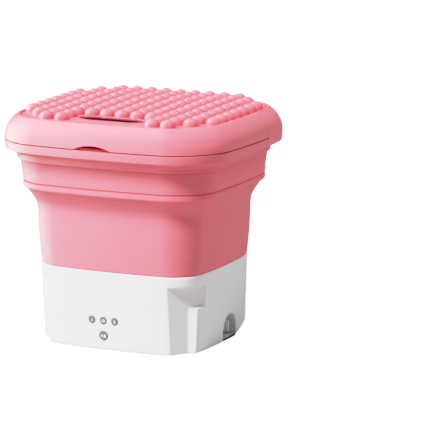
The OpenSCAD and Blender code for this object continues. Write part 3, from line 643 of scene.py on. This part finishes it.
def lid_plate():
    """Bevelled plate under the pad, with the slot through it."""
    curve = bpy.data.curves.new("lid_plate", "CURVE")
    curve.dimensions = "2D"
    curve.fill_mode = "BOTH"
    curve.extrude = (PLATE_TOP - PLATE_BOTTOM) / 2 * MM - PLATE_BEVEL * MM
    curve.bevel_depth = PLATE_BEVEL * MM
    curve.bevel_resolution = 2
    curve.offset = -PLATE_BEVEL * MM
    for outline in (section(118.6, 37.0, 36, 20), slot_ring(1.0)):
        loop = curve.splines.new("POLY")
        loop.points.add(len(outline) - 1)
        for point, (x, y) in zip(loop.points, outline):
            point.co = (x * MM, y * MM, 0, 1)
        loop.use_cyclic_u = True
    mesh = mesh_from_curve(curve)
    mesh.transform(Matrix.Translation((0, 0, (PLATE_BOTTOM + PLATE_TOP) / 2 * MM)))
    with editing(mesh) as bm:
        bmesh.ops.remove_doubles(bm, verts=bm.verts, dist=1e-6)
        bmesh.ops.recalc_face_normals(bm, faces=bm.faces)
    return link_object("lid_plate", mesh)


def lid_body():
    parts = [lid_skirt(), sweep("top", fillet(LID_TOP), 36, 20), lid_plate()]
    for side in (-1, 1):
        x = low_x(side, KNUCKLE_START, KNUCKLE_LENGTH)
        parts.append(hinge_barrel(x, KNUCKLE_LENGTH))
        parts.append(box("knuckle_arm", x + 0.2, x + 19.6, 115.6, 118.6, 259.5, 263.9))
    lid = join(parts, "lid_body")
    shade(lid, 40)
    give(lid, "lid", "lid", "pink_shell", "lid_shell")


# ------------------------------------------------------------------ domed pad
DOME_RADIUS, DOME_PITCH, DOME_SEGMENTS = 8.9, 19.0, 40
DOME_BASE_Z, PAD_Z = 262.5, 262.8
ROW_REACH = [4, 5, 6, 6, 6, 6, 6, 6, 6, 5, 4]  # domes either side of the middle, front to back
PAD_BOTTOM = 261.25
PAD_EDGE = [(124.3, PAD_BOTTOM), (124.2, 262.5), (123.9, 262.72)]  # half width, z
PAD_RINGS = [123.5, 122.5, 120.5, 118, 115, 111, 106, 100, 92, 82, 70, 56, 40, 22, 8]


def crown(x, y):
    """Height of the dome field: fades out at the edges and rises from front to back."""
    u = clamp01((y + 90) / 150)
    return (1 - (x / 127) ** 6) * (1 - (y / 119) ** 8) * (0.3 + 3.4 * u * u * (3 - 2 * u))


def pad_top(x, y):
    """Pad surface: level at its edge, rising with the dome field, lower in front of the slot."""
    edge = max(abs(x) / 125.0, abs(y) / 115.0)
    fade = 1 - clamp01((edge - 0.80) / 0.20) ** 2
    rise = max(0.0, crown(x, y) - 0.55)
    dip = 0.5 * clamp01((-82 - y) / 8)
    return PAD_Z + rise * fade - dip * fade


def pad_sheet():
    n = 4 * (36 + 20 + 1)
    verts, faces = [], []
    for half_width, z in PAD_EDGE + [(a, None) for a in PAD_RINGS]:
        for x, y in section(half_width, None, 36, 20):
            verts.append((x, y, z or pad_top(x, y)))
    last = len(verts) - n
    for k in range(0, last, n):
        faces += bridge(k, k + n, n)
    verts += [(0, 0, pad_top(0, 0)), (0, 0, PAD_BOTTOM)]
    for i in range(n):
        j = (i + 1) % n
        faces.append((last + i, last + j, len(verts) - 2))
        faces.append((j, i, len(verts) - 1))
    sheet = solid("pad", verts, faces)
    subtract(sheet, prism("slot_cutter", slot_ring(1.1), 250, 290))
    return sheet


def add_dome(verts, faces, cx, cy):
    """A hemisphere with a small flare where it meets the pad."""
    n, radius, start = DOME_SEGMENTS, DOME_RADIUS, len(verts)
    centre_z = DOME_BASE_Z + crown(cx, cy)
    pad = pad_top(cx, cy) - centre_z  # pad level from the dome centre
    profile = [(radius + 0.45, pad - 0.35), (radius + 0.22, pad), (radius + 0.02, pad + 0.5)]
    for degrees in range(9, 82, 8):
        t = math.radians(degrees)
        profile.append((radius * math.cos(t), max(pad + 0.6, radius * math.sin(t))))
    for ring_radius, z in profile:
        for i in range(n):
            t = 2 * math.pi * i / n
            verts.append((cx + ring_radius * math.cos(t), cy + ring_radius * math.sin(t),
                          centre_z + z))
    verts.append((cx, cy, centre_z + radius))
    last = start + (len(profile) - 1) * n
    for k in range(start, last, n):
        faces += bridge(k, k + n, n)
    faces += fan(last, n, len(verts) - 1)
    faces.append(tuple(range(start + n - 1, start - 1, -1)))


def domed_pad():
    verts, faces = [], []
    for row, reach in enumerate(ROW_REACH):
        for column in range(-reach, reach + 1):
            if row >= 2 or abs(column) > 2:  # no domes around the slot
                add_dome(verts, faces, column * DOME_PITCH, (row - 5) * DOME_PITCH)
    pad = join([pad_sheet(), mesh_object("domes", verts, faces)], "domed_pad")
    shade(pad, 40)
    give(pad, "dome", "lid", "pink_domes", "lid_dome_panel")


# ------------------------------------------------------------------ slot
# Profiles: (growth of the slot outline, z, corner radius)
SLOT_LIP = [(1.05, 262.3, 0.2), (1.05, 262.85, 0.1), (2.3, 262.85, 0.2), (2.3, 263.45, 0.35),
            (0.0, 263.45, 0.6), (0.0, 262.3, 0.25)]
SLOT_COLLAR = [(1.05, 260.9, 0.1), (1.05, 262.28, 0.1), (0.0, 262.28, 0.1), (0.0, 260.9, 0.2)]
# the sheet of painted shade inside the slot
SLOT_SHADE_SHEET = [(1.02, 257.4, 0.1), (1.02, 260.85, 0.1), (0.05, 260.85, 0.2), (-0.2, 257.4, 0.1)]
SLOT_SLOPE = 0.045


def slot_band(name, corners, steps):
    profile, n = fillet(corners, steps), SLOT_POINTS
    rings = [np.c_[slot_ring(grow), np.full(n, z)] for grow, z in profile]
    faces = []
    for k in range(len(rings)):
        faces += bridge(k * n, (k + 1) % len(rings) * n, n)
    band = solid(name, np.vstack(rings), faces)
    shade(band, 50)
    return band


def slot():
    """A pink lip and collar above a dark sheet of painted shade for the hollow inside the slot."""
    lip = slot_band("slot_lip", SLOT_LIP, 3)
    collar = slot_band("slot_collar", SLOT_COLLAR, 2)
    for band in (lip, collar):  # both slope down towards the front
        for v in band.data.vertices:
            y = v.co.y - SLOT_Y * MM
            v.co.z += SLOT_SLOPE * y * (1 if y > 0 else 0.8)
    give(collar, "collar", "lid", "pink_shell")
    give(lip, "lid", "lid", "pink_shell", "lid_slot_bezel")
    # painted shade: a dark sheet inside the slot stands in for the shade of the hollow below it
    shade_sheet = slot_band("slot_shade_sheet", SLOT_SHADE_SHEET, 2)
    give(shade_sheet, "painted_slot_shade", "lid", "dark_plastic")


# ------------------------------------------------------------------ base
BASE_WALL = 2.8
RECESS_X, RECESS_Y = 72.9, -91.2        # side wall of the front right recess and its rear end
LEDGE_Z, RECESS_TOP = 53, 79
ARCH_X, ARCH_Y, ARCH_Z = 78, 13, 13     # inner end and axis of the arch in the right side
ARCH_RADIUS, ARCH_WALL = 18, 2.6
BUTTON_X, BUTTON_PITCH, BUTTON_Z, BUTTON_RADIUS = -6.3, 14.4, 34.4, 4.3
BUTTON_GAP = 0.15
BUTTONS = [  # object, CAD node, body, x, z, radius, text
    ("time_button_1", "button_1_min", "button_1",
     BUTTON_X - BUTTON_PITCH, BUTTON_Z, BUTTON_RADIUS, "1"),
    ("time_button_10", "button_10_min", "button_10", BUTTON_X, BUTTON_Z, BUTTON_RADIUS, "10"),
    ("time_button_5", "button_5_min", "button_5",
     BUTTON_X + BUTTON_PITCH, BUTTON_Z, BUTTON_RADIUS, "5"),
    ("start_button", "button_start", "button_power", BUTTON_X, 16.8, 5.4, None)]


def base_half_width(z):
    return 102 + 2.7 * z / 91.5


def recess_cutters():
    """Front right recess: a slanting back wall, cut further back above the ledge."""
    front, rear, knee = (RECESS_X, -130), (RECESS_X, RECESS_Y), (88.2, -69.1)
    return [prism("recess_low", [front, (115, -130), (115, -61), knee, rear], -3, LEDGE_Z),
            prism("recess_high", [front, (130, -130), (130, -46), (104.2, -46), knee, rear],
                  LEDGE_Z - 0.01, RECESS_TOP)]


def recess_cutters_inside(wall):
    """The same recess grown by the wall thickness; each corner moves by its own share."""
    side = RECESS_X - 0.851 * wall
    front, rear = (side, -130), (side, RECESS_Y + 0.524 * wall)
    low = [front, (115, -130), (115 - 0.45 * wall, -53.07 + 0.892 * wall),
           (88 - 0.703 * wall, -66.7 + 0.765 * wall), rear]
    back = -38 + 0.498 * wall
    high = [front, (130, -130), (130, back), (104.5 - 0.867 * wall, back),
            (88 - 0.859 * wall, -66.7 + 0.511 * wall), rear]
    return [prism("inside_low", low, -3, LEDGE_Z + wall),
            prism("inside_high", high, LEDGE_Z - wall - 0.01, RECESS_TOP + wall)]


def arch_cutters(grow):
    """Round-topped arch in the right side, open below."""
    x, radius = ARCH_X - grow, ARCH_RADIUS + grow
    return [cylinder("arch_round", (x, ARCH_Y, ARCH_Z), (1, 0, 0), radius, 60),
            box("arch_open", x, x + 60, ARCH_Y - radius, ARCH_Y + radius, -4, ARCH_Z)]


def foot_cutter(grow):
    """Sloped undercut at the rear right foot: a (y, z) outline drawn along X."""
    outline = [(31 - grow, -3), (31 - grow, 0.6 + grow), (64, 11.2 + grow), (130, 11.2 + grow),
               (130, -3)]
    n = len(outline)
    verts = [(x, y, z) for x in (84 - grow, 134 - grow) for y, z in outline]
    faces = [tuple(range(n)), tuple(range(2 * n - 1, n - 1, -1))] + bridge(0, n, n)
    return solid("foot_cutter", verts, faces)


def base_shell():
    # half width, z, corner radius
    outer = [(99.2, 0.6, 0), (101.5, 0.6, 1.4), (102.1, 5, 1)]
    outer += [(base_half_width(z), z, 0) for z in (20, 35, 50, 65, 80)]
    outer += [(104.65, 88.8, 1), (104.3, 91.5, 1.5), (101.5, 91.5, 0)]
    shell = sweep("base_shell", fillet(outer), 30, 18, capped=True)
    inner = [(base_half_width(0) - BASE_WALL, -1)]
    inner += [(base_half_width(z) - BASE_WALL, z) for z in (20, 50, 88.6)]
    cavity = sweep("cavity", inner, 30, 18, capped=True)
    subtract(cavity, *recess_cutters_inside(BASE_WALL), foot_cutter(BASE_WALL),
             *arch_cutters(ARCH_WALL))
    subtract(shell, cavity)
    # low cut at the front left corner
    subtract(shell, box("corner_cutter", -130.3, -80.3, -120.7, -58.1, -2.5, 5.33))
    subtract(shell, *recess_cutters(), foot_cutter(0), *arch_cutters(0))
    # opening in the top, and a round hole through the arch's inner wall
    subtract(shell, prism("deck_cutter", section(90, 16), 84, 96))
    subtract(shell, cylinder("arch_hole", (60, ARCH_Y, 16), (1, 0, 0), 8.5, 30))
    for _, _, _, x, z, radius, _ in BUTTONS:
        subtract(shell, cylinder("button_hole", (x, -80, z), (0, -1, 0),
                                 radius + BUTTON_GAP, 20))
    subtract(shell, cylinder("rear_hole", (45, 80, 26), (0, 1, 0), 5.5, 20))
    # softens the cut edges
    remesh = shell.modifiers.new("remesh", "REMESH")
    remesh.mode = "VOXEL"
    remesh.voxel_size = 0.0008
    smooth = shell.modifiers.new("smooth", "SMOOTH")
    smooth.iterations = 4
    smooth.factor = 0.5
    apply_modifiers(shell)
    shade(shell, 60)
    give(shell, "white", "base", "white_shell", "base_housing")


def drain_tray():
    """The tray on the floor of the arch, and a dark strip along its outer edge."""
    tray = prism("drain_tray", [(78.2, -4.8), (99.4, -4.8), (99.9, 5), (99.9, 21),
                                (99.4, 30.8), (78.2, 30.8)], 1.7, 3.6)
    give(tray, "white_in", "base", "dark_plastic", "drain_sill")
    edge = prism("drain_tray_edge", [(99.5, -4.8), (100.9, -4.8), (101.3, 5), (101.3, 21),
                                     (100.9, 30.8), (99.5, 30.8), (100.0, 21), (100.0, 5)],
                 1.0, 3.4)
    give(edge, "dark", "base", "dark_plastic")


# ------------------------------------------------------------------ buttons
MARK_HALF_THICKNESS = 0.05
START_MARK = [  # a play triangle and two pause bars
    [(-2.9, -1.7), (-2.9, 1.7), (-0.2, 0)],
    [(0.7, -1.7), (1.5, -1.7), (1.5, 1.7), (0.7, 1.7)],
    [(2.1, -1.7), (2.9, -1.7), (2.9, 1.7), (2.1, 1.7)]]


def front_distance(x, z):
    """How far the front face of the base is from the XZ plane."""
    flat_x = base_half_width(z) / (1 + BULGE)
    flat_y = base_half_width(z) * DEPTH_RATIO / (1 + BULGE)
    return flat_y * (1 + BULGE * (1 - (x / (flat_x * 1.02)) ** 2))


def text_mark(name, text, size):
    """Raised text, centred on the origin in the XY plane."""
    curve = bpy.data.curves.new(name, "FONT")
    curve.body = text
    curve.size = size * MM
    curve.align_x = curve.align_y = "CENTER"
    curve.extrude = MARK_HALF_THICKNESS * MM
    curve.offset = 0.03 * MM
    mesh = mesh_from_curve(curve)
    xs = [v.co.x for v in mesh.vertices]
    ys = [v.co.y for v in mesh.vertices]
    mesh.transform(Matrix.Translation((-(min(xs) + max(xs)) / 2, -(min(ys) + max(ys)) / 2, 0)))
    return link_object(name, mesh)


def button(name, node, body, x, z, radius, text):
    """A round push button with a flange behind and a mark on its face."""
    face = front_distance(x, z) + 0.25
    profile = [  # radius, distance forward
        (0, 87.2), (radius + 1, 87.2), (radius + 1, 88.4), (radius, 88.4),
        (radius, face - 0.35), (radius - 0.12, face - 0.12), (radius - 0.45, face),
        (radius - 1.4, face - 0.04), (0, face - 0.18)]
    cap = lathe(name, profile, (x, 0, z), (0, -1, 0), 64)
    shade(cap, 40)
    give(cap, "button", body, "grey_button", node)
    if text:
        marks = [text_mark(f"{name}_mark", text, radius * 1.15)]
    else:
        marks = [prism(f"{name}_mark{k or ''}", outline, -MARK_HALF_THICKNESS,
                       MARK_HALF_THICKNESS) for k, outline in enumerate(START_MARK)]
    stand_up = Matrix(((1, 0, 0), (0, 0, -1), (0, 1, 0))).to_4x4()  # XY plane to the front
    place = Matrix.Translation((x * MM, (0.13 - face) * MM, z * MM)) @ stand_up
    for mark in marks:
        mark.data.transform(place)
        give(mark, "mark", body, "grey_button")


# ------------------------------------------------------------------ floor and surroundings
def floor():
    """Grey to the light, but glowing white to the camera."""
    material, tree, shader = new_material("floor_white")
    set_inputs(shader, {"Base Color": (0.38, 0.38, 0.38, 1), "Roughness": 0.9,
                        "Specular IOR Level": 0.0})
    path = add_node(tree, "LightPath")
    emission = add_node(tree, "Emission")
    total = add_node(tree, "AddShader")
    glow = add_node(tree, "Math", {1: 2.6}, operation="MULTIPLY")
    link = tree.links.new
    link(path.outputs["Is Camera Ray"], glow.inputs[0])
    link(glow.outputs[0], emission.inputs["Strength"])
    link(shader.outputs[0], total.inputs[0])
    link(emission.outputs[0], total.inputs[1])
    link(total.outputs[0], tree.nodes["Material Output"].inputs["Surface"])
    bm = bmesh.new()
    bmesh.ops.create_grid(bm, x_segments=2, y_segments=2, size=8)
    ground = object_from_bmesh("floor", bm)
    ground.location.z = -0.0002
    ground.data.materials.append(material)
    ground.visible_glossy = False


# Broad softboxes: direction, cosine at which the lobe fades out, strength at its middle
DIFFUSE_LOBES = [((0, 1, 0.3), 0, 1.73), ((1, 0, 0.3), 0, 0.05)]
GLOSS_LOBES = [
    ((-0.44, -0.876, -0.15), 0.5, 1.5), ((-0.95, -0.3, 0), 0.5, 10.5), ((0, 0, 1), 0.5, 1.08),
    ((0.44, 0.876, -0.2), 0.5, 0.36), ((-0.7, -0.3, 0.9), 0.8, 5.0)]
CAMERA_BACKDROP = 2.7


def lobe_background(tree, direction, lobes):
    """Background whose strength is the sum of the lobes."""
    link = tree.links.new
    total = None
    for axis, fade_cosine, strength in lobes:
        dot = add_node(tree, "VectorMath", {1: Vector(axis).normalized()},
                       operation="DOT_PRODUCT")
        link(direction, dot.inputs[0])
        lobe = add_remap(tree, dot.outputs["Value"], (fade_cosine, 1), (0.0, strength),
                         "SMOOTHSTEP")
        if total is None:
            total = lobe
        else:
            add = add_node(tree, "Math", operation="ADD")
            link(total, add.inputs[0])
            link(lobe, add.inputs[1])
            total = add.outputs[0]
    background = add_node(tree, "Background", {"Color": (1, 1, 1, 1)})
    link(total, background.inputs["Strength"])
    return background.outputs[0]


def surroundings():
    """White for the camera, with separate softboxes for diffuse light and for gloss."""
    world = bpy.data.worlds.new("w")
    scene.world = world
    world.use_nodes = True
    tree = world.node_tree
    tree.nodes.clear()
    link = tree.links.new
    direction = add_node(tree, "TexCoord").outputs["Generated"]
    path = add_node(tree, "LightPath")
    backdrop = add_node(tree, "Background", {"Color": (1, 1, 1, 1), "Strength": CAMERA_BACKDROP})
    by_gloss = add_node(tree, "MixShader")
    by_camera = add_node(tree, "MixShader")
    output = add_node(tree, "OutputWorld")
    link(path.outputs["Is Glossy Ray"], by_gloss.inputs["Fac"])
    link(lobe_background(tree, direction, DIFFUSE_LOBES), by_gloss.inputs[1])
    link(lobe_background(tree, direction, GLOSS_LOBES), by_gloss.inputs[2])
    link(path.outputs["Is Camera Ray"], by_camera.inputs["Fac"])
    link(by_gloss.outputs[0], by_camera.inputs[1])
    link(backdrop.outputs[0], by_camera.inputs[2])
    link(by_camera.outputs[0], output.inputs["Surface"])
    world.cycles.sampling_method = "NONE"


def key_light():
    """Large soft sun from the front left and above."""
    light = bpy.data.lights.new("key", "SUN")
    light.energy = 7.2
    light.angle = math.radians(16)
    sun = bpy.data.objects.new("key", light)
    sun.rotation_euler = Vector((-0.4, -0.8, 1.1)).to_track_quat("Z", "Y").to_euler()
    sun.visible_glossy = False
    scene.collection.objects.link(sun)


# ------------------------------------------------------------------ camera and tone
CAMERA_TURN, CAMERA_RISE = math.radians(26.65), math.radians(11.34)  # to the right, and up
CAMERA_DISTANCE = 3.205228
TARGET = Vector((0, 0, 0.13956))
AIM_RIGHT, AIM_UP = 0.077921, 0.0031401  # the aim point from the target, across the view
FOCAL_LENGTH = 234.85011                 # mm


def camera():
    back = Vector((math.sin(CAMERA_TURN) * math.cos(CAMERA_RISE),
                   -math.cos(CAMERA_TURN) * math.cos(CAMERA_RISE), math.sin(CAMERA_RISE)))
    right = Vector((math.cos(CAMERA_TURN), math.sin(CAMERA_TURN), 0))
    up = back.cross(right)
    location = TARGET + back * CAMERA_DISTANCE
    aim = TARGET + right * AIM_RIGHT + up * AIM_UP
    lens = bpy.data.cameras.new("cam")
    cam = link_object("cam", lens)
    lens.sensor_width = 36
    lens.lens = FOCAL_LENGTH
    lens.clip_start = 0.1
    lens.clip_end = 50
    cam.location = location
    cam.rotation_euler = (aim - location).to_track_quat("-Z", "Y").to_euler()
    scene.camera = cam


def tone_curve():
    """A straight line up to the knee, then a soft shoulder towards the top."""
    knee, top, white = 0.445, 0.89, 2.6
    view = scene.view_settings
    view.view_transform = "Standard"
    view.look = "None"
    view.use_curve_mapping = True
    mapping = view.curve_mapping
    mapping.white_level = (white, white, white)
    points = mapping.curves[3].points
    for x in [knee, 0.6, 0.7, 0.82, 0.95, 1.1, 1.3, 1.6, 2.0, 2.35]:
        level = knee + (top - knee) * (1 - math.exp(-(x - knee) / (top - knee)))
        points.new(x / white, level)
    points[0].location = (0, 0)
    points[len(points) - 1].location = (1, 1)
    for point in points:
        point.handle_type = "VECTOR"
    mapping.update()


# ------------------------------------------------------------------ build
dress_frame()
bucket_wall()
bucket_band()
rim_and_cowl()
lid_body()
domed_pad()
slot()
base_shell()
drain_tray()
for spec in BUTTONS:
    button(*spec)
floor()
surroundings()
key_light()
camera()
tone_curve()
